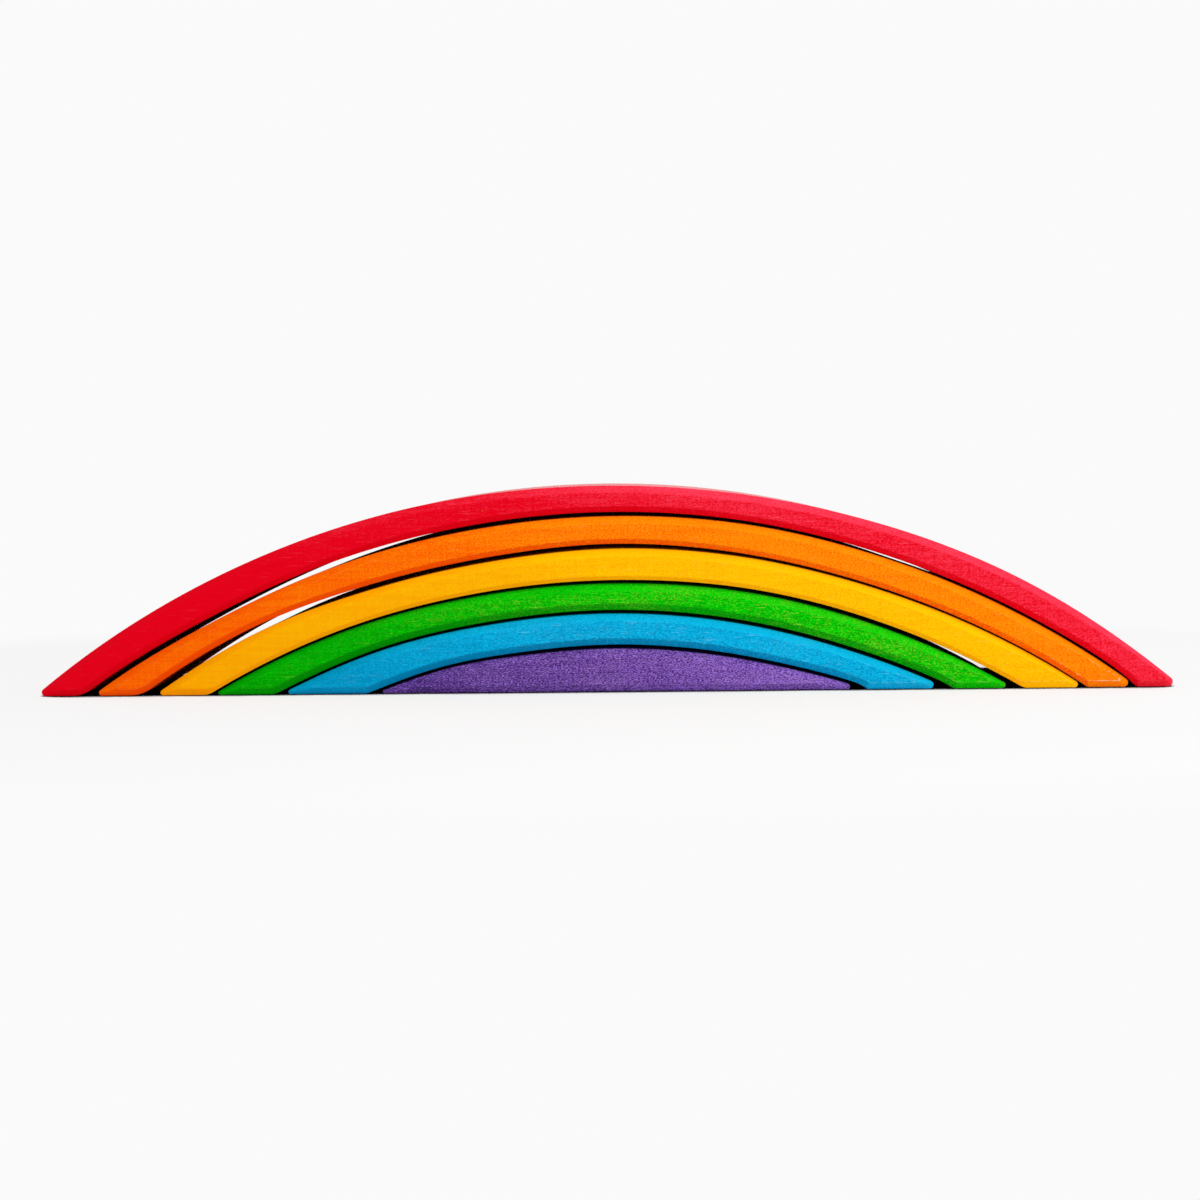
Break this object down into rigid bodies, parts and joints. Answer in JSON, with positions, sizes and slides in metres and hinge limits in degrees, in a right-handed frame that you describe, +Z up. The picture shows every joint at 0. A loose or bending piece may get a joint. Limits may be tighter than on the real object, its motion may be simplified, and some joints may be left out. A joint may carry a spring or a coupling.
{
  "type": "rainbow bridge block",
  "caption": "Nested wooden rainbow bridge: low coloured arches that lift off one another over a solid middle block, each standing on flat feet.",
  "frame": {"origin": "on the table, under the middle of the whole block", "axes": "+X along the arches, -Y out of the front face, +Z up from the table"},
  "size_m": [0.3996, 0.07, 0.073],
  "materials": {
    "violet_stain": "violet stained lime wood, sanded and lightly oiled",
    "blue_stain": "blue stained lime wood, sanded and lightly oiled",
    "green_stain": "green stained lime wood, sanded and lightly oiled",
    "yellow_stain": "yellow stained lime wood, sanded and lightly oiled",
    "orange_stain": "orange stained lime wood, sanded and lightly oiled",
    "red_stain": "red stained lime wood, sanded and lightly oiled"
  },
  "bodies": {
    "block": {"violet_block": "violet_stain"},
    "blue_arch": {"blue_bridge": "blue_stain"},
    "green_arch": {"green_bridge": "green_stain"},
    "yellow_arch": {"yellow_bridge": "yellow_stain"},
    "orange_arch": {"orange_bridge": "orange_stain"},
    "red_arch": {"red_bridge": "red_stain"}
  },
  "joints": [
    {"name": "blue_lift", "type": "slide", "parent": "block", "child": "blue_arch", "axis": [0, 0, 1], "range_m": [0, 0.025]},
    {"name": "green_lift", "type": "slide", "parent": "blue_arch", "child": "green_arch", "axis": [0, 0, 1], "range_m": [0, 0.037]},
    {"name": "yellow_lift", "type": "slide", "parent": "green_arch", "child": "yellow_arch", "axis": [0, 0, 1], "range_m": [0, 0.048]},
    {"name": "orange_lift", "type": "slide", "parent": "yellow_arch", "child": "orange_arch", "axis": [0, 0, 1], "range_m": [0, 0.06]},
    {"name": "red_lift", "type": "slide", "parent": "orange_arch", "child": "red_arch", "axis": [0, 0, 1], "range_m": [0, 0.072]}
  ]
}
